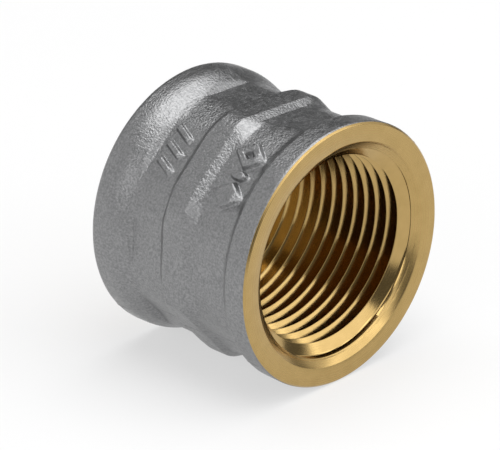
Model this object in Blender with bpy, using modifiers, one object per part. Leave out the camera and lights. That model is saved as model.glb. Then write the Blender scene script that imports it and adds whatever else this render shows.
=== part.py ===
"""Straight G 3/4 pipe coupling, threaded right through, lying on its side.

A hot-forged brass body carries the female thread, and a thin nickel skin covers its as-forged
outside. The machined end faces, end rims, mouths and thread are bare brass.

Metres, +Z up. The bore runs along +X, the front end faces +X, and the origin lies on the
surface that the coupling rests on, under its middle.
"""

import math

import bmesh
import bpy

MM = 0.001

# Thread: G 3/4, ISO 228-1, 55 degree flanks, right-handed.
THREAD_PITCH = 25.4 / 14 * MM
THREAD_MAJOR_R = 26.441 / 2 * MM
THREAD_MINOR_R = 24.117 / 2 * MM
FLANK_ANGLE = math.radians(27.5)
ROOT_FLAT = 0.30 * MM
GROOVE_OVERCUT = 0.10 * MM

# Whole body.
LENGTH = 26.4 * MM
COLLAR_R = 16.8 * MM
FACE_R = 16.5 * MM
RIM_LENGTH = 0.6 * MM
EDGE_BEVEL = 0.3 * MM
MOUTH_R = 14.3 * MM

# Forged outside, as distances from the middle of the length along the bore.
SKIN_R = 16.74 * MM
NECK_R = 15.66 * MM
FRONT_COLLAR_EDGE = 10.0 * MM
FRONT_NECK_FRONT = 9.0 * MM
BAND_CONE_FRONT = 3.2 * MM
BAND_FRONT = 1.6 * MM
BAND_REAR = -1.1 * MM
REAR_NECK_FRONT = -2.1 * MM
REAR_CONE_FRONT = -7.1 * MM
REAR_COLLAR_EDGE = -9.8 * MM

# Wrench band: eight flats, 31.4 mm across.
BAND_CORNER_R = 16.7 * MM
FLAT_APOTHEM = 15.7 * MM
FLAT_COUNT = 8
FIRST_CORNER = math.radians(19.4)

# Skin.
SKIN_THICKNESS = 0.25 * MM
SKIN_GAP = 0.08 * MM

# Facets. A flat facet of the collars lies on the ground.
SEGMENTS = 40
HALF_SEGMENT = math.pi / SEGMENTS
AXIS_HEIGHT = COLLAR_R * math.cos(HALF_SEGMENT)
MERGE_DISTANCE = 0.001 * MM
SHARP_ANGLE = math.radians(20)

BRASS = {"colour": (0.60, 0.40, 0.16, 1.0), "roughness": 0.28, "metallic": 1.0}
NICKEL = {"colour": (0.30, 0.30, 0.30, 1.0), "roughness": 0.48, "metallic": 1.0}


def clear_scene():
    for obj in list(bpy.data.objects):
        bpy.data.objects.remove(obj, do_unlink=True)


def new_collection(name, hidden=False):
    collection = bpy.data.collections.new(name)
    collection.hide_render = hidden
    bpy.context.scene.collection.children.link(collection)
    return collection


def metal(name, colour, roughness, metallic):
    material = bpy.data.materials.new(name)
    material.use_nodes = True
    shader = material.node_tree.nodes["Principled BSDF"]
    shader.inputs["Base Color"].default_value = colour
    shader.inputs["Roughness"].default_value = roughness
    shader.inputs["Metallic"].default_value = metallic
    material.diffuse_color = colour
    return material


def turned(name, outline, collection, steps=SEGMENTS, turn=HALF_SEGMENT, rise=0.0, laps=1):
    """A ring swept around local Z from a closed (height, radius) outline.

    The outline runs down the outer side and back up the inner side. A rise sweeps it along a
    helix of that pitch.
    """
    mesh = bpy.data.meshes.new(name)
    corners = [
        (radius * math.cos(turn), radius * math.sin(turn), height) for height, radius in outline
    ]
    edges = [(i, (i + 1) % len(corners)) for i in range(len(corners))]
    mesh.from_pydata(corners, edges, [])
    obj = bpy.data.objects.new(name, mesh)
    collection.objects.link(obj)
    screw = obj.modifiers.new("Turn", "SCREW")
    screw.axis = "Z"
    screw.angle = 2 * math.pi
    screw.screw_offset = rise
    screw.iterations = laps
    screw.steps = steps
    screw.render_steps = steps
    screw.use_merge_vertices = rise == 0.0
    screw.merge_threshold = MERGE_DISTANCE
    return obj


def as_cutter(obj):
    obj.hide_render = True
    obj.display_type = "WIRE"
    return obj


def cut(obj, cutter):
    boolean = obj.modifiers.new(f"Cut {cutter.name}", "BOOLEAN")
    boolean.operation = "DIFFERENCE"
    boolean.solver = "EXACT"
    boolean.object = cutter


def forged_line(inset):
    """The forged outside between the end rims, from front to rear, sunk by inset."""
    line = [
        (FRONT_COLLAR_EDGE, SKIN_R),
        (FRONT_NECK_FRONT, NECK_R),
        (BAND_CONE_FRONT, NECK_R),
        (BAND_FRONT, BAND_CORNER_R),
        (BAND_REAR, BAND_CORNER_R),
        (REAR_NECK_FRONT, NECK_R),
        (REAR_CONE_FRONT, NECK_R),
        (REAR_COLLAR_EDGE, SKIN_R),
    ]
    return [(height, radius - inset) for height, radius in line]


def body_outline():
    """The whole section of the body, with the bore at the thread's minor radius."""
    end = LENGTH / 2
    rim = end - RIM_LENGTH
    inset = SKIN_THICKNESS + SKIN_GAP
    chamfer = MOUTH_R - THREAD_MINOR_R
    front = [(end, FACE_R), (end - EDGE_BEVEL, COLLAR_R), (rim, COLLAR_R), (rim, SKIN_R - inset)]
    rear = [(-height, radius) for height, radius in reversed(front)]
    bore = [(-end, MOUTH_R), (chamfer - end, THREAD_MINOR_R)]
    mouth = [(-height, radius) for height, radius in reversed(bore)]
    return front + forged_line(inset) + rear + bore + mouth


def sleeve_outline(inset, end, inner_r):
    """A plain sleeve whose outer side is the forged outside, sunk by inset."""
    outer = [(end, SKIN_R - inset)] + forged_line(inset) + [(-end, SKIN_R - inset)]
    return outer + [(-end, inner_r), (end, inner_r)]


def flats_cutter(name, inset, collection):
    """An eight-sided tube around the band, whose inner faces leave the wrench flats."""
    to_corner = 1 / math.cos(math.pi / FLAT_COUNT)
    inner_r = (FLAT_APOTHEM - inset) * to_corner
    outer_r = 2 * COLLAR_R
    front = (FRONT_NECK_FRONT + BAND_CONE_FRONT) / 2
    rear = (REAR_NECK_FRONT + REAR_CONE_FRONT) / 2
    outline = [(front, outer_r), (rear, outer_r), (rear, inner_r), (front, inner_r)]
    return as_cutter(turned(name, outline, collection, steps=FLAT_COUNT, turn=FIRST_CORNER))


def groove_cutter(collection):
    """One right-hand thread groove, longer than the body, with its two ends closed."""
    depth = THREAD_MAJOR_R - THREAD_MINOR_R + GROOVE_OVERCUT
    inner_r = THREAD_MAJOR_R - depth
    half_root = ROOT_FLAT / 2
    half_mouth = half_root + depth * math.tan(FLANK_ANGLE)
    laps = math.ceil(LENGTH / THREAD_PITCH) + 3
    start = -laps * THREAD_PITCH / 2
    outline = [
        (start + half_root, THREAD_MAJOR_R),
        (start - half_root, THREAD_MAJOR_R),
        (start - half_mouth, inner_r),
        (start + half_mouth, inner_r),
    ]
    sweep = turned("groove_sweep", outline, collection, rise=THREAD_PITCH, laps=laps)
    graph = bpy.context.evaluated_depsgraph_get()
    mesh = bpy.data.meshes.new_from_object(sweep.evaluated_get(graph))
    close_ends(mesh)
    bpy.data.objects.remove(sweep, do_unlink=True)
    groove = bpy.data.objects.new("thread_groove", mesh)
    collection.objects.link(groove)
    return as_cutter(groove)


def close_ends(mesh):
    edit = bmesh.new()
    edit.from_mesh(mesh)
    bmesh.ops.holes_fill(edit, edges=[edge for edge in edit.edges if edge.is_boundary])
    bmesh.ops.recalc_face_normals(edit, faces=edit.faces)
    edit.to_mesh(mesh)
    edit.free()


def lay_down(objects, collection):
    """Lays the upright pieces on their side, with local Z along +X."""
    stand = bpy.data.objects.new("coupling_frame", None)
    stand.empty_display_size = LENGTH
    stand.location = (0.0, 0.0, AXIS_HEIGHT)
    stand.rotation_euler = (0.0, math.pi / 2, 0.0)
    collection.objects.link(stand)
    for obj in objects:
        obj.parent = stand


def finish(obj, material):
    """Applies the modifiers, and shades the piece smooth except at its sharp edges."""
    weld = obj.modifiers.new("Weld", "WELD")
    weld.merge_threshold = MERGE_DISTANCE
    graph = bpy.context.evaluated_depsgraph_get()
    mesh = bpy.data.meshes.new_from_object(obj.evaluated_get(graph))
    obj.modifiers.clear()
    obj.data = mesh
    mesh.shade_smooth()
    mesh.set_sharp_from_angle(angle=SHARP_ANGLE)
    mesh.materials.clear()
    mesh.materials.append(material)


def build():
    clear_scene()
    parts = new_collection("pipe_coupling")
    cutters = new_collection("cutters", hidden=True)

    seat_inset = SKIN_THICKNESS + SKIN_GAP
    body = turned("brass_body", body_outline(), parts)
    body_flats = flats_cutter("body_flats", seat_inset, cutters)
    groove = groove_cutter(cutters)
    cut(body, body_flats)
    cut(body, groove)
    finish(body, metal("brass", **BRASS))

    skin_end = LENGTH / 2 - RIM_LENGTH - SKIN_GAP
    skin = turned("nickel_plating", sleeve_outline(0.0, skin_end, THREAD_MAJOR_R), parts)
    skin_flats = flats_cutter("skin_flats", 0.0, cutters)
    core = turned("skin_core", sleeve_outline(SKIN_THICKNESS, LENGTH, THREAD_MINOR_R), cutters)
    core_flats = flats_cutter("core_flats", SKIN_THICKNESS, cutters)
    cut(core, core_flats)
    cut(skin, skin_flats)
    cut(skin, as_cutter(core))
    finish(skin, metal("nickel", **NICKEL))

    lay_down([body, skin, body_flats, groove, core, skin_flats, core_flats], parts)


build()
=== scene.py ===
"""Looks of the pipe coupling: a grained nickel shell around a machined brass core.

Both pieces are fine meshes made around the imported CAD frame. The bore runs along +X and the
front mouth faces +X. An angle around the bore, called turn, is counted from -Y toward +Z.
"""

import math

import bmesh
import bpy
import numpy as np
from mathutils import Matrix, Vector


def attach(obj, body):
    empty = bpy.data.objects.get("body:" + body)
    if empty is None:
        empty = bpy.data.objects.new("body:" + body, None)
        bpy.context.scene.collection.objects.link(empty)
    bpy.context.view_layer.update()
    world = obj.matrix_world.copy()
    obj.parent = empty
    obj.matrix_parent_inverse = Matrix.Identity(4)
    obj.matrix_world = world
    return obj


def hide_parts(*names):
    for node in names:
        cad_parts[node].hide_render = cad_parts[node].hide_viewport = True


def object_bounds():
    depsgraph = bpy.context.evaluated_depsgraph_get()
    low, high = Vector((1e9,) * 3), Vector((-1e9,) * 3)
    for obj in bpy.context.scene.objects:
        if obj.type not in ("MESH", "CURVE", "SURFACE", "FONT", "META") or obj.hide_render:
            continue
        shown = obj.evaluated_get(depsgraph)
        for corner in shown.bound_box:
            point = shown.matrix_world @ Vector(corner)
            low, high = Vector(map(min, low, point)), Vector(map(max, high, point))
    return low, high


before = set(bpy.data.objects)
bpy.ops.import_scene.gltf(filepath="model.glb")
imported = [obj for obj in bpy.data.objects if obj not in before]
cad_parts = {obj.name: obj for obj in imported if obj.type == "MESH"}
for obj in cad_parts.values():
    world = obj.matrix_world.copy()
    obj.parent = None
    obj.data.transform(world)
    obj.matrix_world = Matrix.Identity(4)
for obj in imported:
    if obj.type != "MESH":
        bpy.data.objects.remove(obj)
cad_low, cad_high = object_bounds()

MM = 0.001
SEED = 34

# Thread: G 3/4, ISO 228-1, right-handed. It is cut a little fuller than the standard profile,
# with a deeper root and a crest nearer the axis, which makes the crests thin.
PITCH = 25.4 / 14 * MM
MAJOR_R = 26.441 / 2 * MM
MINOR_R = 24.117 / 2 * MM
SHARP_HEIGHT = 0.960491 * PITCH
SHARP_ROOT_R = MAJOR_R + SHARP_HEIGHT / 6
FLANK_ANGLE = math.radians(27.5)
ROOT_FILLET = 0.137329 * PITCH
ROOT_EXTRA_CUT = 0.10 * MM
CREST_FILLET = 0.06 * MM
CREST_R = MINOR_R - 0.12 * MM

# The body, and the hidden wall where the core meets the shell.
HALF_LENGTH = (cad_high[0] - cad_low[0]) / 2
AXIS_Z = (cad_high[2] + cad_low[2]) / 2
CORE_R = 14.75 * MM
HIDDEN_HALF_LENGTH = 12.7 * MM
SHELL_INNER_R = 14.80 * MM

# Forged outside, front to rear: distance from mid length, radius, fillet.
COLLAR_R = 16.74 * MM
NECK_R = 15.65 * MM
BAND_R = 16.70 * MM
FORGED_LINE = [
    (12.99 * MM, 16.72 * MM, 0.0),
    (12.80 * MM, 16.81 * MM, 0.3 * MM),
    (9.95 * MM, 16.72 * MM, 0.6 * MM),
    (8.90 * MM, NECK_R, 1.6 * MM),
    (3.30 * MM, NECK_R, 1.2 * MM),
    (1.62 * MM, BAND_R, 0.9 * MM),
    (-1.10 * MM, BAND_R, 0.4 * MM),
    (-2.08 * MM, NECK_R, 0.8 * MM),
    (-7.10 * MM, NECK_R, 5.0 * MM),
    (-9.90 * MM, COLLAR_R, 5.0 * MM),
    (-12.45 * MM, COLLAR_R, 1.0 * MM),
    (-13.18 * MM, 15.95 * MM, 0.0),
]
FLAT_COUNT = 8
FIRST_CORNER = math.radians(25.6)
FLAT_APOTHEM = 15.70 * MM
FLAT_BLEND = 0.25 * MM
NECK_APOTHEM = 15.20 * MM
NO_FLAT = 17.6 * MM

# Distance to the flats along the length. Each neck sinks in the middle of every flat.
FLAT_LINE = [
    (-9.2 * MM, NO_FLAT),
    (-7.2 * MM, NECK_APOTHEM),
    (-2.3 * MM, NECK_APOTHEM),
    (-1.5 * MM, FLAT_APOTHEM),
    (1.60 * MM, FLAT_APOTHEM),
    (2.80 * MM, NECK_APOTHEM),
    (8.2 * MM, NECK_APOTHEM),
    (8.9 * MM, 15.5 * MM),
    (9.6 * MM, NO_FLAT),
]

# Shallow unevenness of the forging, coarse and fine: height, wavelength. Each layer is a sum of
# waves whose counts per length spread around its own. It fades out just before the ends.
RIPPLES = [
    (0.012 * MM, 5 * MM),
    (0.004 * MM, 1.1 * MM),
]
RIPPLE_WAVES = 40
RIPPLE_SPREAD = (0.6, 1.4)
RIPPLE_FADE = 1 * MM

# Raised marks on the two necks, all in the middle of one wrench flat. A mark's numbers are its
# middle, along the bore and around the neck, and its two half sizes.
MARK_TURN = math.radians(48.5)
MARK_SLOPE = 0.34 * MM
MARK_RAMP = 1.1 * MM
FRONT_MARKS_HEIGHT = 0.75 * MM
FRONT_MARKS_END = 8.3 * MM
DIMPLED_DIAMOND = (6.0 * MM, 2.8 * MM, 2.4 * MM, 1.8 * MM)
DIMPLE = (5.9 * MM, 2.8 * MM, 0.75 * MM, 0.5 * MM)
STUD = (6.0 * MM, 0.05 * MM, 1.2 * MM, 0.6 * MM)
SOLID_DIAMOND = (6.1 * MM, -2.7 * MM, 2.4 * MM, 1.7 * MM)
REAR_MARKS_HEIGHT = 0.5 * MM
REAR_MARKS_END = -2.9 * MM
RIBS_ALONG = -4.8 * MM
RIBS_AROUND = (-2.3 * MM, 0.0, 2.3 * MM)
RIB_SLANT = math.radians(-24)
RIB_HALF_LENGTH = 1.5 * MM
RIB_HALF_WIDTH = 0.42 * MM

# Parting line of the forging die: a fine ridge on two sides, swaying a little along the bore.
PARTING_TURNS = (math.radians(140.2), math.radians(320.2))
PARTING_HEIGHT = 0.05 * MM
PARTING_WIDTH = 0.09 * MM
PARTING_WAVE = 9 * MM
PARTING_SWAY = 0.12 * MM

# Machined ends, from the nickel's edge to the mouth: distance from mid length, radius, fillet.
MOUTH_R = 14.3 * MM
MOUTH_EDGE = [
    (HALF_LENGTH, MOUTH_R + 0.03 * MM, 0.0),
    (HALF_LENGTH - 0.02 * MM, MOUTH_R, 0.0),
]
FRONT_RIM = [
    (12.94 * MM, 16.62 * MM, 0.0),
    (12.98 * MM, 16.74 * MM, 0.02 * MM),
    (HALF_LENGTH, 16.50 * MM, 0.05 * MM),
    *MOUTH_EDGE,
]
REAR_RIM = [
    (13.10 * MM, 15.90 * MM, 0.0),
    (HALF_LENGTH, 15.85 * MM, 0.03 * MM),
    *MOUTH_EDGE,
]

# The first chamfer, which ends on a burr. The burr is cut off centre, so its depth varies.
CHAMFER_SLOPE = 1.3
BURR_SWING = 0.26 * MM
BURR_MEAN_DEPTH = 1.3 * BURR_SWING
BURR_TURN = math.radians(100)
BURR_HEIGHT = 0.02 * MM
BURR_WAVE = 1 * MM

# Rows across the burr: distance behind its edge, share of its height.
BURR_ROWS = [
    (-0.10 * MM, 0.0),
    (-0.04 * MM, 0.0),
    (0.0, 1.0),
    (0.05 * MM, 0.4),
    (0.09 * MM, 0.0),
    (0.15 * MM, 0.0),
]

# The lead-in cone behind the burr.
CONE_MOUTH_R = 14.26 * MM
CONE_SLOPE = 1.2
CONE_END_R = 13.32 * MM

# Mesh density. Turns are in degrees: fine over the raised marks and the parting line.
LINE_STEP = 0.138 * MM
FILLET_STEPS = 8
THREAD_FILLET_STEPS = 5
CORE_STEPS = 270
MARKS_START = 30
MARKS_STOP = 67
MARKS_STEP = 0.34
PLAIN_STEP = 1.2
PARTING_OFFSETS = np.arange(-1, 1.1, 0.25)
WELD_DISTANCE = 1e-4 * MM
SHARP_ANGLE = math.radians(35)


def smooth_min(a, b, width):
    """The smaller of the two, blended over about the width where they meet."""
    mix = np.clip(0.5 + 0.5 * (b - a) / width, 0.0, 1.0)
    return b * (1 - mix) + a * mix - width * mix * (1 - mix)


def rounded(outline, steps=FILLET_STEPS):
    """The outline's points, with each corner replaced by a curve of about its fillet."""
    points = [np.array(outline[0][:2])]
    for before, here, after in zip(outline, outline[1:], outline[2:]):
        corner = np.array(here[:2])
        back = np.array(before[:2]) - corner
        ahead = np.array(after[:2]) - corner
        back_length, ahead_length = np.linalg.norm(back), np.linalg.norm(ahead)
        cosine = back @ ahead / (back_length * ahead_length)
        half_turn = (math.pi - math.acos(max(-1.0, cosine))) / 2
        reach = min(here[2] * math.tan(half_turn), 0.5 * back_length, 0.5 * ahead_length)
        if reach == 0:
            points.append(corner)
            continue
        start = corner + back * reach / back_length
        end = corner + ahead * reach / ahead_length
        for u in np.linspace(0, 1, steps + 1):
            points.append((1 - u) ** 2 * start + 2 * u * (1 - u) * corner + u * u * end)
    points.append(np.array(outline[-1][:2]))
    return np.array(points)


def even(points, step):
    """The same line, with points an even step apart."""
    along = np.concatenate([[0], np.cumsum(np.linalg.norm(np.diff(points, axis=0), axis=1))])
    count = max(2, round(along[-1] / step) + 1)
    at = np.linspace(0, along[-1], count)
    return np.stack([np.interp(at, along, points[:, axis]) for axis in (0, 1)], axis=1)


def ripples(x, turns, wavelength, seed):
    """A smooth random field over the outside, with an rms of about 0.7, the same on every run."""
    rng = np.random.default_rng(seed)
    field = np.zeros(np.broadcast_shapes(x.shape, turns.shape))
    for _ in range(RIPPLE_WAVES):
        heading = rng.uniform(0, 2 * math.pi)
        per_metre = rng.uniform(*RIPPLE_SPREAD) / wavelength
        laps = round(2 * math.pi * COLLAR_R * per_metre * math.sin(heading))
        along = 2 * math.pi * per_metre * math.cos(heading) * x
        field += np.cos(along + laps * turns + rng.uniform(0, 2 * math.pi))
    return field * math.sqrt(1 / RIPPLE_WAVES)


def grid_mesh(name, x, radius, turns):
    """A closed piece from rows of (x, radius) at each turn. The rows close on themselves.

    The last column repeats the first one or continues it by one thread pitch, and is welded.
    """
    y = -radius * np.cos(turns)
    z = AXIS_Z + radius * np.sin(turns)
    rows, columns = x.shape
    index = np.arange(rows * columns).reshape(rows, columns)
    below = np.roll(index, -1, axis=0)
    quads = np.stack([index[:, :-1], below[:, :-1], below[:, 1:], index[:, 1:]], axis=-1)
    mesh = bpy.data.meshes.new(name)
    mesh.from_pydata(np.stack([x, y, z], axis=-1).reshape(-1, 3), [], quads.reshape(-1, 4))
    edit = bmesh.new()
    edit.from_mesh(mesh)
    bmesh.ops.remove_doubles(edit, verts=edit.verts, dist=WELD_DISTANCE)
    bmesh.ops.recalc_face_normals(edit, faces=edit.faces)
    edit.to_mesh(mesh)
    edit.free()
    mesh.shade_smooth()
    obj = bpy.data.objects.new(name, mesh)
    bpy.context.scene.collection.objects.link(obj)
    return obj


# ---------------------------------------------------------------- nickel shell

def shell_turns():
    """Turns once around the shell, closer together over the marks and the parting line."""
    stop = MARKS_START + 360
    marks = np.arange(MARKS_START, MARKS_STOP, MARKS_STEP)
    plain = np.arange(MARKS_STOP, stop, PLAIN_STEP)
    parting = [middle + PARTING_OFFSETS for middle in np.degrees(PARTING_TURNS)]
    return np.radians(np.unique(np.concatenate([marks, plain, *parting, [stop]])))


def flat_radius(x, turns):
    """Distance from the axis to the eight flats of the band and of the necks beside it."""
    pitch = 2 * math.pi / FLAT_COUNT
    off_middle = (turns - FIRST_CORNER) % pitch - pitch / 2
    apothem = np.interp(x, *zip(*FLAT_LINE))
    return apothem / np.cos(off_middle)


def box_edge(u, v, half_u, half_v):
    """Distance outside a box that is centred on u = v = 0."""
    du, dv = np.abs(u) - half_u, np.abs(v) - half_v
    outside = np.hypot(np.maximum(du, 0), np.maximum(dv, 0))
    return outside + np.minimum(np.maximum(du, dv), 0)


def diamond_edge(x, around, mark):
    """Distance outside a diamond-shaped mark."""
    middle_x, middle_around, half_x, half_around = mark
    slant = half_x * half_around / math.hypot(half_x, half_around)
    reach = np.abs(x - middle_x) / half_x + np.abs(around - middle_around) / half_around
    return (reach - 1) * slant


def oval_edge(x, around, mark):
    """Roughly the distance outside an oval mark that is longer along the bore."""
    middle_x, middle_around, half_x, half_around = mark
    reach = np.hypot((x - middle_x) / half_x, (around - middle_around) / half_around)
    return (reach - 1) * half_around


def turned_axes(u, v, angle):
    """The same place, told on axes that are turned by the angle."""
    cos, sin = math.cos(angle), math.sin(angle)
    return u * cos + v * sin, v * cos - u * sin


def raised(edge, x, front, height):
    """A raised shape with sloping sides, from the distance outside its edge.

    Its top slopes down to nothing at the front end.
    """
    up = np.clip(0.5 - edge / MARK_SLOPE, 0, 1)
    ramp = np.clip((front - x) / MARK_RAMP, 0, 1)
    return height * up * up * (3 - 2 * up) * ramp


def front_marks(x, around):
    """A dimpled diamond, an oval stud and a solid diamond on the front neck."""
    dimpled = np.maximum(
        diamond_edge(x, around, DIMPLED_DIAMOND),
        -diamond_edge(x, around, DIMPLE),
    )
    stud = oval_edge(x, around, STUD)
    solid = diamond_edge(x, around, SOLID_DIAMOND)
    edge = np.minimum(np.minimum(dimpled, stud), solid)
    return raised(edge, x, FRONT_MARKS_END, FRONT_MARKS_HEIGHT)


def rear_marks(x, around):
    """Three slanted ribs side by side, on the rear neck."""
    edges = []
    for middle in RIBS_AROUND:
        u, v = turned_axes(x - RIBS_ALONG, around - middle, RIB_SLANT)
        edges.append(box_edge(u, v, RIB_HALF_LENGTH, RIB_HALF_WIDTH))
    return raised(np.minimum.reduce(edges), x, REAR_MARKS_END, REAR_MARKS_HEIGHT)


def parting_line(x, turns):
    """The fine ridge on two sides, where the two halves of the forging die met."""
    sway = PARTING_SWAY * np.sin(2 * math.pi * x / PARTING_WAVE)
    ridge = 0.0
    for middle in PARTING_TURNS:
        off = NECK_R * (turns - middle) - sway
        ridge = ridge + PARTING_HEIGHT * np.exp(-((off / PARTING_WIDTH) ** 2))
    return ridge


def nickel_shell():
    line = even(rounded(FORGED_LINE), LINE_STEP)
    turns = shell_turns()
    x = np.repeat(line[:, :1], len(turns), axis=1)
    radius = np.repeat(line[:, 1:], len(turns), axis=1)
    radius = smooth_min(radius, flat_radius(x, turns), FLAT_BLEND)

    around = NECK_R * (turns[None, :] - MARK_TURN)
    marks = front_marks(x, around) + rear_marks(x, around)
    radius = radius + marks + parting_line(x, turns)
    waves = np.zeros_like(radius)
    for layer, (height, wavelength) in enumerate(RIPPLES):
        waves += height * ripples(x, turns, wavelength, SEED + layer)
    radius = radius + waves * np.clip((HALF_LENGTH - np.abs(x)) / RIPPLE_FADE, 0, 1)

    ends = np.array([line[-1, 0], line[0, 0]])
    x = np.vstack([x, np.repeat(ends[:, None], len(turns), axis=1)])
    radius = np.vstack([radius, np.full((2, len(turns)), SHELL_INNER_R)])
    radius[:, -1] = radius[:, 0]
    return grid_mesh("nickel_shell", x, radius, turns)


# ---------------------------------------------------------------- brass core

def thread_profile():
    """One pitch of the thread's wall as (distance along the bore, radius), from crest to crest."""
    root = SHARP_ROOT_R + ROOT_EXTRA_CUT
    groove = (root - CREST_R) * math.tan(FLANK_ANGLE)
    return rounded([
        (-PITCH / 2, CREST_R, 0.0),
        (-groove, CREST_R, CREST_FILLET),
        (0.0, root, ROOT_FILLET),
        (groove, CREST_R, CREST_FILLET),
        (PITCH / 2, CREST_R, 0.0),
    ], THREAD_FILLET_STEPS)


def cone_radius(x):
    """Radius of the lead-in cone at each end."""
    return CONE_MOUTH_R - CONE_SLOPE * (HALF_LENGTH - np.abs(x))


def thread_wall(turns):
    """Rows of the bore's wall from front to rear: the thread, cut off by the cone at each end."""
    cone_bottom = HALF_LENGTH - (CONE_MOUTH_R - CONE_END_R) / CONE_SLOPE
    laps = math.ceil(2 * cone_bottom / PITCH) + 1
    profile = thread_profile()[:-1]
    u = np.concatenate([profile[:, 0] + lap * PITCH - cone_bottom for lap in range(laps)])[::-1]
    profile_radius = np.tile(profile[:, 1], laps)[::-1]
    along = u[:, None] - PITCH * turns[None, :] / (2 * math.pi)
    x = np.clip(along, -cone_bottom, cone_bottom)
    radius = np.maximum(profile_radius[:, None], cone_radius(x))
    radius = np.where(np.abs(along) >= cone_bottom, cone_radius(x), radius)
    return list(zip(x, radius))


def end_rows(rim, turns):
    """Rows from the nickel's edge, over the bevel and the face, to the burr in the mouth."""
    rows = [(np.full(len(turns), x), np.full(len(turns), radius)) for x, radius in rounded(rim)]
    return rows + burr_rows(turns)


def burr_rows(turns):
    """The ragged ring where the lead-in cone, cut off centre, meets the first chamfer."""
    depth = BURR_MEAN_DEPTH - BURR_SWING * np.cos(turns - BURR_TURN)
    radius = MOUTH_R - CHAMFER_SLOPE * depth
    unevenness = ripples(np.zeros_like(turns), turns, BURR_WAVE, SEED + len(RIPPLES))
    ragged = BURR_HEIGHT * (1 + unevenness)
    rows = []
    for behind, share in BURR_ROWS:
        rows.append((HALF_LENGTH - depth - behind, radius - behind - share * ragged))
    return rows


def brass_core():
    turns = np.radians(np.linspace(0, 360, CORE_STEPS + 1))
    front = end_rows(FRONT_RIM, turns)
    rear = [(-x, radius) for x, radius in reversed(end_rows(REAR_RIM, turns))]
    hidden_radius = np.full(len(turns), CORE_R)
    hidden = [
        (np.full(len(turns), -HIDDEN_HALF_LENGTH), hidden_radius),
        (np.full(len(turns), HIDDEN_HALF_LENGTH), hidden_radius),
    ]
    rows = front + thread_wall(turns) + rear + hidden
    x = np.array([row[0] for row in rows])
    radius = np.array([row[1] for row in rows])
    return grid_mesh("brass_core", x, radius, turns)


# ---------------------------------------------------------------- materials

# Nickel: a fine grain in colour and height, over wider and shallower pits that change the gloss.
NICKEL_COLOUR = (0.29, 0.29, 0.29)
NICKEL_DARK = (0.205, 0.207, 0.21)
NICKEL_BRIGHT = (0.305, 0.305, 0.308)
NICKEL_ROUGHNESS = 0.46
PIT_ROUGHNESS = (0.30, 0.42)
GRAIN_SIZE = 0.26 * MM
GRAIN_STRENGTH = 0.8
GRAIN_DEPTH = 0.10 * MM
PIT_SIZE = 0.75 * MM
PIT_STRENGTH = 0.3
PIT_DEPTH = 0.08 * MM

# Brass: turning marks, which are faint on the end faces and strong in the bore.
BRASS_COLOUR = (0.50, 0.345, 0.14)
BRASS_DARK = (0.44, 0.302, 0.116)
BRASS_BRIGHT = (0.475, 0.327, 0.129)
BRASS_ROUGHNESS = 0.24
STAIN_SIZE = 1.6 * MM
TURNING_SIZE = 0.07 * MM
TURNING_DEPTH = 0.006 * MM
TURNING_STRENGTH_INSIDE = 0.7
TURNING_STRENGTH_OUTSIDE = 0.03
TURNING_FADE = (12.1 * MM, 12.6 * MM)

# Roughness of the turned metal, and what the dull thread crests and the ends add to it.
TURNING_ROUGHNESS = (0.09, 0.17)
CREST_DULLNESS = 0.25
CREST_FADE = (CREST_R, CREST_R + 0.08 * MM)
END_DULLNESS = 0.14
END_FADE = (12.1 * MM, 12.4 * MM)

NOISE_RANGE = (0.3, 0.7)
RAMP_DARK_END = 0.32
RAMP_BRIGHT_END = 0.68


def new_node(tree, kind, inputs=(), **settings):
    """Adds a node. Each input is (socket, value), where a value may be another node's socket."""
    node = tree.nodes.new(kind)
    for name, value in settings.items():
        setattr(node, name, value)
    for socket, value in inputs:
        if isinstance(value, bpy.types.NodeSocket):
            tree.links.new(value, node.inputs[socket])
        else:
            node.inputs[socket].default_value = value
    return node


def metal_shader(name, colour, roughness):
    material = bpy.data.materials.new(name)
    material.use_nodes = True
    shader = material.node_tree.nodes["Principled BSDF"]
    shader.inputs["Metallic"].default_value = 1.0
    shader.inputs["Base Color"].default_value = (*colour, 1.0)
    shader.inputs["Roughness"].default_value = roughness
    return material, material.node_tree, shader


def spread(tree, value, low, high, value_range=NOISE_RANGE):
    """Maps a value onto low to high, as it goes through its own range."""
    inputs = [
        ("Value", value),
        ("From Min", value_range[0]),
        ("From Max", value_range[1]),
        ("To Min", low),
        ("To Max", high),
    ]
    return new_node(tree, "ShaderNodeMapRange", inputs).outputs["Result"]


def added(tree, a, b):
    return new_node(tree, "ShaderNodeMath", [(0, a), (1, b)], operation="ADD").outputs["Value"]


def colour_ramp(tree, value, dark, bright):
    ramp = new_node(tree, "ShaderNodeValToRGB", [("Fac", value)])
    ramp.color_ramp.elements[0].position = RAMP_DARK_END
    ramp.color_ramp.elements[0].color = (*dark, 1.0)
    ramp.color_ramp.elements[1].position = RAMP_BRIGHT_END
    ramp.color_ramp.elements[1].color = (*bright, 1.0)
    return ramp.outputs["Color"]


def noise(tree, vector, size, detail=2.0):
    """Noise whose spots are about size metres across."""
    inputs = [("Vector", vector), ("Scale", 1 / size), ("Detail", detail)]
    return new_node(tree, "ShaderNodeTexNoise", inputs).outputs["Fac"]


def bump(tree, height, strength, distance, normal=None):
    inputs = [("Height", height), ("Strength", strength), ("Distance", distance)]
    if normal:
        inputs.append(("Normal", normal))
    return new_node(tree, "ShaderNodeBump", inputs).outputs["Normal"]


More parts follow.
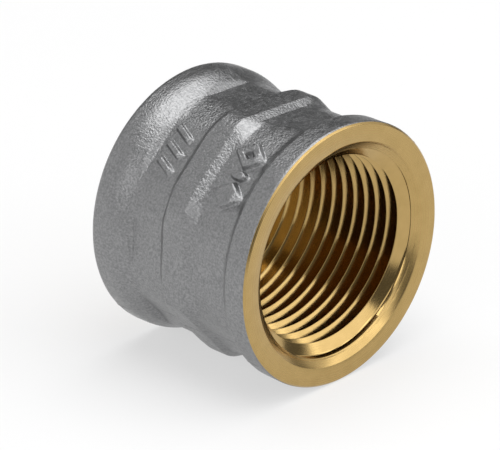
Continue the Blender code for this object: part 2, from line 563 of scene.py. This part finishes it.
def nickel_material():
    """Matt nickel plate over a shot-blasted forging."""
    material, tree, shader = metal_shader("nickel_grain", NICKEL_COLOUR, NICKEL_ROUGHNESS)
    place = new_node(tree, "ShaderNodeTexCoord").outputs["Object"]
    grain = noise(tree, place, GRAIN_SIZE)
    pits = noise(tree, place, PIT_SIZE, detail=1.0)
    colour = colour_ramp(tree, grain, NICKEL_DARK, NICKEL_BRIGHT)
    tree.links.new(colour, shader.inputs["Base Color"])
    tree.links.new(spread(tree, pits, *PIT_ROUGHNESS), shader.inputs["Roughness"])
    normal = bump(tree, pits, PIT_STRENGTH, PIT_DEPTH)
    normal = bump(tree, grain, GRAIN_STRENGTH, GRAIN_DEPTH, normal)
    tree.links.new(normal, shader.inputs["Normal"])
    return material


def polar_sockets(tree, place):
    """Distance along the bore and distance from its axis, as sockets."""
    off_axis = new_node(tree, "ShaderNodeMapping", [
        ("Vector", place),
        ("Location", (0.0, 0.0, -AXIS_Z)),
    ]).outputs["Vector"]
    parts = new_node(tree, "ShaderNodeSeparateXYZ", [("Vector", off_axis)]).outputs
    across = new_node(tree, "ShaderNodeCombineXYZ", [
        ("Y", parts["Y"]),
        ("Z", parts["Z"]),
    ]).outputs["Vector"]
    radius = new_node(tree, "ShaderNodeVectorMath", [(0, across)], operation="LENGTH")
    return parts["X"], radius.outputs["Value"]


def brass_material():
    """Bright machined brass with fine turning marks around the bore."""
    material, tree, shader = metal_shader("brass_machined", BRASS_COLOUR, BRASS_ROUGHNESS)
    place = new_node(tree, "ShaderNodeTexCoord").outputs["Object"]
    along, radius = polar_sockets(tree, place)
    polar = new_node(tree, "ShaderNodeCombineXYZ", [("X", along), ("Y", radius)])
    turning = noise(tree, polar.outputs["Vector"], TURNING_SIZE, detail=3.0)
    stains = noise(tree, place, STAIN_SIZE)
    colour = colour_ramp(tree, stains, BRASS_DARK, BRASS_BRIGHT)
    tree.links.new(colour, shader.inputs["Base Color"])

    off_middle = new_node(tree, "ShaderNodeMath", [(0, along)], operation="ABSOLUTE")
    off_middle = off_middle.outputs["Value"]
    roughness = spread(tree, turning, *TURNING_ROUGHNESS)
    roughness = added(tree, roughness, spread(tree, radius, CREST_DULLNESS, 0.0, CREST_FADE))
    roughness = added(tree, roughness, spread(tree, off_middle, 0.0, END_DULLNESS, END_FADE))
    tree.links.new(roughness, shader.inputs["Roughness"])

    strength = spread(
        tree, off_middle, TURNING_STRENGTH_INSIDE, TURNING_STRENGTH_OUTSIDE, TURNING_FADE
    )
    normal = bump(tree, turning, strength, TURNING_DEPTH)
    tree.links.new(normal, shader.inputs["Normal"])
    return material


# ---------------------------------------------------------------- pieces

def put_together():
    shell = nickel_shell()
    shell.data.materials.append(nickel_material())
    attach(shell, "root")
    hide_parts("nickel_plating")

    core = brass_core()
    core.data.materials.append(brass_material())
    core.data.set_sharp_from_angle(angle=SHARP_ANGLE)
    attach(core, "root")
    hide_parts("brass_body")


# ---------------------------------------------------------------- studio

AZIMUTH = math.radians(44.34)
ELEVATION = math.radians(25.44)
CAMERA_DISTANCE = 0.6077
CAMERA_LENS = 360.0
CAMERA_SENSOR_WIDTH = 36.0
CAMERA_CLIP_START = 0.01
FRAME_OFFSET = (-1.56 * MM, -0.28 * MM)

FLOOR_LOW = (-0.75, -0.70)
FLOOR_HIGH = (0.25, 0.70)
FLOOR_COLOUR = (0.31, 0.31, 0.31, 1.0)
FLOOR_GLOW_COLOUR = (1.0, 1.0, 1.0, 1.0)
FLOOR_GLOW = 0.56
FLOOR_ROUGHNESS = 0.9

# Softboxes: name, place, width and height, radiance.
SOFTBOXES = [
    ("overhead", (0.03, 0.10, 0.80), (0.95, 0.95), 2.9),
    ("right", (0.76, 0.43, 0.50), (0.9, 0.6), 1.75),
    ("right_high", (0.74, -0.19, 0.68), (0.8, 0.56), 1.4),
    ("front", (0.28, -0.85, 0.42), (0.7, 0.5), 1.9),
    ("front_left", (-0.77, -0.63, 0.42), (1.7, 1.0), 0.72),
    ("back_right", (0.30, 0.85, 0.43), (0.8, 0.5), 0.7),
]
WORLD_COLOUR = (1, 1, 1, 1)
WORLD_STRENGTH = 0.15


def camera_axes():
    back = Vector((
        math.sin(AZIMUTH) * math.cos(ELEVATION),
        -math.cos(AZIMUTH) * math.cos(ELEVATION),
        math.sin(ELEVATION),
    ))
    right = Vector((math.cos(AZIMUTH), math.sin(AZIMUTH), 0.0))
    return right, back.cross(right), back


def place_camera():
    right, up, back = camera_axes()
    aim = Vector((0.0, 0.0, AXIS_Z)) + right * FRAME_OFFSET[0] + up * FRAME_OFFSET[1]
    camera = bpy.data.objects.new("camera", bpy.data.cameras.new("camera"))
    camera.data.lens = CAMERA_LENS
    camera.data.sensor_width = CAMERA_SENSOR_WIDTH
    camera.data.clip_start = CAMERA_CLIP_START
    camera.location = aim + back * CAMERA_DISTANCE
    camera.rotation_euler = back.to_track_quat("Z", "Y").to_euler()
    bpy.context.scene.collection.objects.link(camera)
    bpy.context.scene.camera = camera


def lay_floor():
    """A pale floor that glows a little, so that the coupling's shadow stays faint."""
    (left, near), (right, far) = FLOOR_LOW, FLOOR_HIGH
    corners = [(left, near, 0), (right, near, 0), (right, far, 0), (left, far, 0)]
    mesh = bpy.data.meshes.new("floor")
    mesh.from_pydata(corners, [], [(0, 1, 2, 3)])
    floor = bpy.data.objects.new("floor", mesh)
    floor.location.z = cad_low[2]
    bpy.context.scene.collection.objects.link(floor)
    material = bpy.data.materials.new("floor")
    material.use_nodes = True
    shader = material.node_tree.nodes["Principled BSDF"]
    shader.inputs["Base Color"].default_value = FLOOR_COLOUR
    shader.inputs["Emission Color"].default_value = FLOOR_GLOW_COLOUR
    shader.inputs["Emission Strength"].default_value = FLOOR_GLOW
    shader.inputs["Roughness"].default_value = FLOOR_ROUGHNESS
    shader.inputs["Specular IOR Level"].default_value = 0.0
    mesh.materials.append(material)


def soft_light(name, place, size, radiance):
    """A softbox aimed at the coupling. The size is its width and height."""
    light = bpy.data.lights.new(name, "AREA")
    light.shape = "RECTANGLE"
    light.size, light.size_y = size
    light.energy = radiance * math.pi * size[0] * size[1]
    lamp = bpy.data.objects.new(name, light)
    lamp.location = place
    aim = Vector((0.0, 0.0, AXIS_Z)) - Vector(place)
    lamp.rotation_euler = aim.to_track_quat("-Z", "Y").to_euler()
    bpy.context.scene.collection.objects.link(lamp)


def light_studio():
    world = bpy.data.worlds.new("studio")
    world.use_nodes = True
    background = world.node_tree.nodes["Background"]
    background.inputs["Color"].default_value = WORLD_COLOUR
    background.inputs["Strength"].default_value = WORLD_STRENGTH
    bpy.context.scene.world = world
    for softbox in SOFTBOXES:
        soft_light(*softbox)
    bpy.context.scene.view_settings.view_transform = "Standard"


put_together()
place_camera()
lay_floor()
light_studio()
